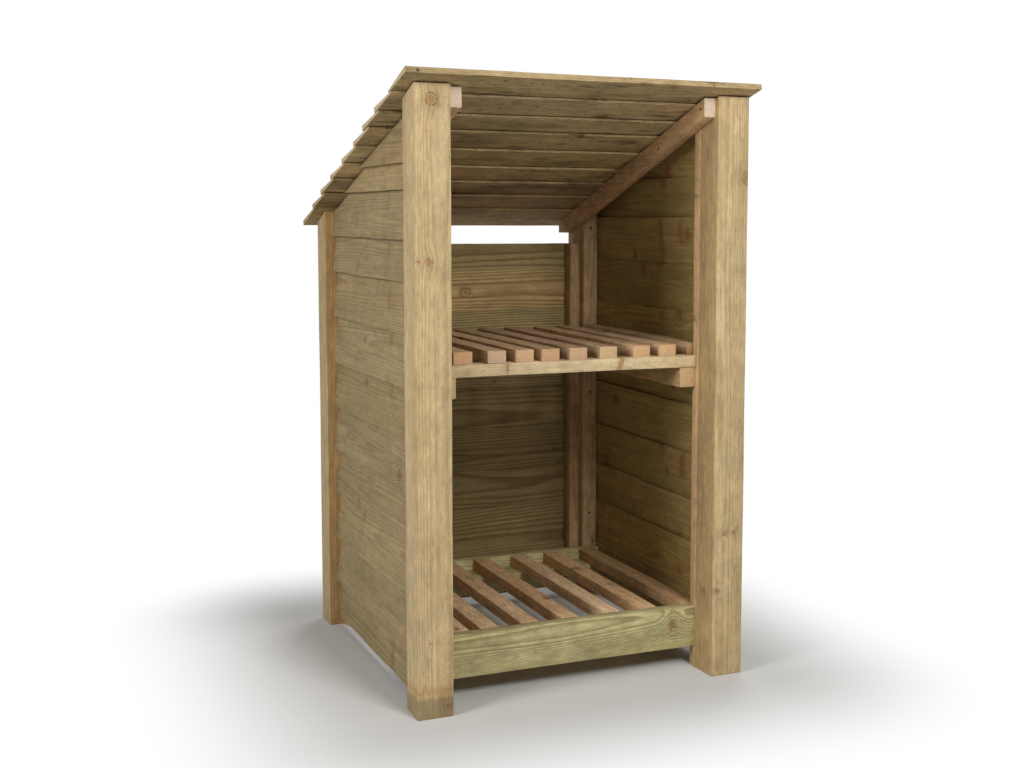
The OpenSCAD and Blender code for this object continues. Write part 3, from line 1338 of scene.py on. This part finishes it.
    def nails(self, base: float, planes: Sequence[Plane]) -> Piece:
        """The nails of the wall, still on the bench.

        Args:
            base: Height of the battens' plane.
            planes: Planes that the boards are sawn to.

        Returns:
            All the nails as one piece.
        """
        aside, aloft = self.nail_play
        places: list[tuple[Vector, Matrix]] = []
        for k, course in enumerate(self.courses):
            above = self.courses[k + 1].low if k + 1 < len(self.courses) else course.high
            for line in self.nail_lines:
                for j in range(self.nails_per_board):
                    dice = random.Random(hash((self.seed, k, round(line * 1e4), j)) & 0xFFFF)
                    y = course.low + (self.nail_rise + self.nail_step * j) + dice.uniform(-aloft, aloft)
                    spot = Vector((line + dice.uniform(-aside, aside), y, base + course.face(y)))
                    clear = all((spot - point).dot(normal) < -self.nail_edge for point, normal in planes)
                    if clear and y < above - self.nail_edge:
                        places.append((spot, Matrix.Identity(4)))
        return Nail().drive(self.name, places)


@dataclass
class Nail:
    """Round nail head, driven nearly flush."""

    radius: float = 0.0026
    proud: float = 0.0004
    depth: float = 0.002
    sides: int = 10
    rim: float = 0.3
    dome: float = 0.00015

    def build(self, name: str) -> Piece:
        """Models the head, facing +Z at the origin.

        Args:
            name: Name of the piece.

        Returns:
            The nail head.
        """
        piece = Bench.add(name, bpy.ops.mesh.primitive_cylinder_add, vertices=self.sides, radius=self.radius,
                          depth=self.depth, location=(0, 0, self.proud - self.depth / 2))
        Bench.bake(piece)
        Bench.mark(piece, lambda co: co.z > 0)
        bpy.context.tool_settings.mesh_select_mode = (False, False, True)
        with Bench.editing():
            bpy.ops.mesh.inset(thickness=self.radius * self.rim)
            bpy.ops.transform.translate(value=(0, 0, self.dome))
        return piece

    def drive(self, name: str, places: Sequence[tuple[Vector, Matrix]]) -> Piece:
        """Drives nails at places.

        Args:
            name: What they are driven into.
            places: Each nail's spot, and the turn that makes it face outwards.

        Returns:
            All the nails as one piece.
        """
        pattern = self.build(f"{name}_nail_pattern")
        made = []
        for spot, turn in places:
            nail = Bench.copy(pattern, f"{name}_nail_{len(made)}")
            Bench.settle(nail, Matrix.Translation(spot) @ turn)
            made.append(nail)
        Bench.discard(pattern)
        return Bench.join(f"{name}_nails", made)


@dataclass
class Fixings:
    """Nails that show on the rafters and battens.

    A nail on a rafter is given by its share of the rafter's run and by how far down the
    rafter's side it stands, and one on a batten by its share of the batten's height.
    """

    slope: Slope
    rafter_depth: float = 0.038
    on_rafters: tuple[tuple[float, float], ...] = ((0.02, 0.45), (0.27, 0.7), (0.64, 0.25))
    on_back_battens: tuple[float, ...] = (0.222, 0.535, 0.951)
    on_front_battens: tuple[float, ...] = (0.969,)

    def build(self) -> None:
        """Drives and dresses the nails."""
        places: list[tuple[Vector, Matrix]] = []
        for side, inner in (("left", 1), ("right", -1)):
            across = Matrix.Rotation(math.radians(90 * inner), 4, "Y")
            low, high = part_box(f"{side}_rafter")
            face = (high if inner > 0 else low).x
            for run, down in self.on_rafters:
                y = low.y + (high.y - low.y) * run
                spot = Vector((face, y, self.slope.height(y) - self.rafter_depth * down))
                places.append((spot, across))
            low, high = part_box(f"{side}_front_batten")
            face = (high if inner > 0 else low).x
            for share in self.on_front_battens:
                spot = Vector((face, (low.y + high.y) / 2, low.z + (high.z - low.z) * share))
                places.append((spot, across))
            low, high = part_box(f"{side}_back_batten")
            for share in self.on_back_battens:
                spot = Vector(((low.x + high.x) / 2, low.y, low.z + (high.z - low.z) * share))
                places.append((spot, Matrix.Rotation(math.radians(90), 4, "X")))
        nails = Nail(radius=0.0032).drive("frame", places)
        # Dark heads: partly rust, partly painted shade of the holes they are driven into.
        finish = NailFinish("dark_steel", bright=paint(84, 62, 44))
        hand_over(nails, finish.material(), None)


@dataclass
class Cladding:
    """The lapped boards: three walls and the roof."""

    slope: Slope

    def build(self) -> None:
        """Models and dresses the walls and the roof."""
        steel = NailFinish().material()
        self.side_walls(steel)
        self.back_wall(steel)
        self.roof(steel)

    def wall_finish(self, name: str, bands: tuple[float, ...], **changes: object) -> TimberFinish:
        """Describes the olive finish of the wall boards.

        Args:
            name: Name of the material.
            bands: Depths at which it has reddish marks.
            changes: Fields of the finish that differ.

        Returns:
            The finish.
        """
        base = dict(early=paint(160, 142, 103), late=paint(118, 94, 60), end=paint(190, 172, 130),
                    stain=paint(116, 102, 66), stain_share=0.45, contrast=0.46, ring_width=0.0034,
                    wander=0.016, knot_share=0.16, sooty=0.18, fibre=1.45, mottled=0.6, bands=bands)
        base.update(changes)
        return TimberFinish(name, **base)

    def side_walls(self, steel: Material) -> None:
        """Builds both side walls.

        Args:
            steel: Material of the nails.
        """
        under_roof = ((self.slope.point - self.slope.normal * 0.0002, self.slope.normal),)
        for side, sign, seed in (("left", -1, 21), ("right", 1, 22)):
            lines = tuple(sign * middle(f"{side}_{end}_batten", Axis.Y) for end in ("front", "back"))
            cream = {0: (0.98, 0.97, 0.98), 10: (1.16, 1.13, 1.13), 11: (0.95, 0.92, 0.9)}
            dice = random.Random(seed)
            tints = []
            for k in range(SIDE_BOARDS):
                shade = dice.uniform(0.93, 1.06)
                tints.append(cream.get(k, (shade, shade * dice.uniform(0.98, 1.02),
                                           shade * dice.uniform(0.94, 1.04))))
            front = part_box(f"{side}_wall_boards")[0].y
            marks = tuple(front + depth for depth in ((0.185, 0.42) if side == "left" else (0.145, 0.245)))
            changes = {} if side == "left" else dict(
                early=paint(166, 144, 92), late=paint(132, 104, 56), stain=paint(108, 96, 50), knot_share=0.3,
                knot_size=1.3, band_colour=paint(140, 80, 40), band_width=0.014)
            finish = self.wall_finish(f"olive_wall_{side}", marks, **changes)
            wall = LappedBoards(
                f"{side}_wall_boards", f"{side}_wall", "wall_boards", Vector((0, 0, 1)),
                Vector((sign, 0, 0)), seed, tints=tuple(tints), nail_lines=lines)
            wall.build(finish.material(), steel, under_roof)

    def back_wall(self, steel: Material) -> None:
        """Builds the back wall.

        Args:
            steel: Material of the nails.
        """
        lines = tuple(-middle(f"back_wall_{side}_batten", Axis.X) for side in ("left", "right"))
        top = ((Vector((0, 0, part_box("back_wall_boards")[1].z)), Vector((0, 0, 1))),)
        # Tints of the boards from the lowest: the lower boards are darker and warmer as painted shade, the
        # top ones brighter as painted light.
        painted_shade_tint = (0.74, 0.72, 0.62)
        tints = (painted_shade_tint, (0.8, 0.78, 0.68), painted_shade_tint, (0.7, 0.68, 0.58), (0.74, 0.72, 0.6), (0.86, 0.86, 0.78),
                 (0.92, 0.94, 0.88), (1.24, 1.16, 1.04), (1.08, 1.07, 1.0))
        finish = self.wall_finish("olive_wall_back", (), contrast=0.85, ring_width=0.0055, wander=0.034,
                                  knot_share=0.1)
        LappedBoards("back_wall_boards", "back_wall", "wall_boards", Vector((0, 0, 1)), Vector((0, 1, 0)),
                     23, tints=tints, nail_lines=lines).build(finish.material(), steel, top)

    def roof(self, steel: Material) -> None:
        """Builds the roof.

        Args:
            steel: Material of the nails.
        """
        finish = TimberFinish(
            "olive_roof", early=paint(190, 168, 128), late=paint(140, 110, 70), end=paint(212, 196, 160),
            stain=paint(92, 74, 42), stain_share=0.7, contrast=0.5, knot_share=0.5, knot_size=1.3,
            knot=paint(98, 60, 32), sooty=0.85)
        lines = tuple(-middle(f"{side}_rafter", Axis.X) for side in ("left", "right"))
        up = Vector((0.0, -math.cos(self.slope.pitch), math.sin(self.slope.pitch)))
        # The two back boards are tinted darker: painted shade under the back of the roof.
        LappedBoards("roof_boards", "roof", "roof_boards", up, self.slope.normal, 24, reversed_last=True,
                     tints=((0.76, 0.7, 0.6), (0.82, 0.76, 0.66)), trim=0.0011, sway=0.0009, lift=0.0002,
                     end_play=0.003, nail_lines=lines, nails_per_board=2).build(finish.material(), steel)


# ---------------------------------------------------------------- studio


@dataclass
class Studio:
    """Plain pale floor, soft lights and the camera."""

    eye: Triple = (-1.1643, -2.9591, 1.0020)
    yaw: float = 24.502
    pitch: float = 5.388
    roll: float = 0.242
    lens: float = 48.46
    shift: tuple[float, float] = (-0.0738, -0.0352)
    white: Triple = (0.74, 0.74, 0.73)
    floor_radius: float = 30.0
    shadow_reach: float = 0.5
    sky_level: float = 0.2

    def build(self) -> None:
        """Sets the scene round the store."""
        self.floor()
        self.light("front", (0.25, -2.6, 2.05), (0.0, 0.0, 1.0), 0.8, 43.0, (1.0, 0.995, 0.985))
        self.light("left", (-2.9, -1.3, 1.75), (0.0, 0.0, 0.8), 1.0, 47.0, (1.0, 0.995, 0.985))
        self.light("rear", (2.2, 2.8, 2.6), (0.0, 0.0, 0.7), 2.2, 45.0, (0.98, 0.99, 1.0))
        self.sky()
        self.camera()
        bpy.context.scene.view_settings.view_transform = "Standard"

    def floor(self) -> None:
        """Lays the floor, white to the eye, with the store's shadow kept."""
        ground = Bench.add("studio_floor", bpy.ops.mesh.primitive_circle_add, vertices=64,
                           radius=self.floor_radius, fill_type="NGON", location=(0, 0, 0))
        g = ShaderGraph(bpy.data.materials.new("studio_white"))
        g.feed(g.shader.inputs["Roughness"], 0.9)
        g.feed(g.shader.inputs["Specular IOR Level"], 0.0)
        seen = g.seen()
        glow = g.node("Emission", {}, {"Color": (1.0, 1.0, 1.0), "Strength": 1.0}, "Emission")
        x, y, _ = g.node("TexCoord", {}, {}, "Object").split()
        low, high = CAD_BOX
        aside = (abs(x) - (high[0] - low[0]) / 2).most(0.0)
        away = (abs(y) - (high[1] - low[1]) / 2).most(0.0)
        share = seen * (aside * aside + away * away).root().ramp(0.0, self.shadow_reach)
        g.feed(g.shader.inputs["Base Color"], self.white)
        mixed = g.node("MixShader", {}, {0: share, 1: Strand(g, g.shader.outputs[0]), 2: glow})
        output = next(n for n in g.tree.nodes if n.type == "OUTPUT_MATERIAL")
        g.feed(output.inputs["Surface"], mixed)
        ground.data.materials.append(g.owner)
        ground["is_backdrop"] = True

    def light(self, name: str, place: Triple, aim: Triple, size: float, power: float,
              colour: Triple) -> None:
        """Hangs a soft light.

        Args:
            name: Name of the lamp.
            place: Where it hangs.
            aim: What it faces.
            size: Side of its square face.
            power: Strength in watts.
            colour: Its colour.
        """
        lamp = Bench.add(name, bpy.ops.object.light_add, type="AREA", location=place)
        lamp.data.size = size
        lamp.data.energy = power
        lamp.data.color = colour
        lamp.rotation_euler = (Vector(aim) - Vector(place)).to_track_quat("-Z", "Y").to_euler()

    def sky(self) -> None:
        """Lights the scene all round, and is white to the eye."""
        world = bpy.data.worlds.new("studio_sky")
        bpy.context.scene.world = world
        g = ShaderGraph(world)
        g.feed(g.shader.inputs["Color"], (1.0, 1.0, 1.0))
        g.feed(g.shader.inputs["Strength"], g.seen() * (1.0 - self.sky_level) + self.sky_level)

    def camera(self) -> None:
        """Sets up the camera."""
        view = Bench.add("viewpoint", bpy.ops.object.camera_add, location=self.eye)
        turn = (Matrix.Rotation(math.radians(-self.yaw), 4, "Z")
                @ Matrix.Rotation(math.radians(90 - self.pitch), 4, "X")
                @ Matrix.Rotation(math.radians(self.roll), 4, "Z"))
        view.rotation_euler = turn.to_euler()
        view.data.lens = self.lens
        view.data.sensor_width = 36.0
        view.data.shift_x, view.data.shift_y = self.shift
        bpy.context.scene.camera = view


def main() -> None:
    """Builds the store's looks piece by piece and the studio round it."""
    logging.basicConfig(level=logging.INFO, format="%(name)s: %(message)s")
    slope = Slope()
    Posts(slope).build()
    Rafters(slope).build()
    Battens(slope).build()
    Shelf().build()
    Floor().build()
    Cladding(slope).build()
    Fixings(slope).build()
    Studio().build()


if __name__ == "__main__":
    main()
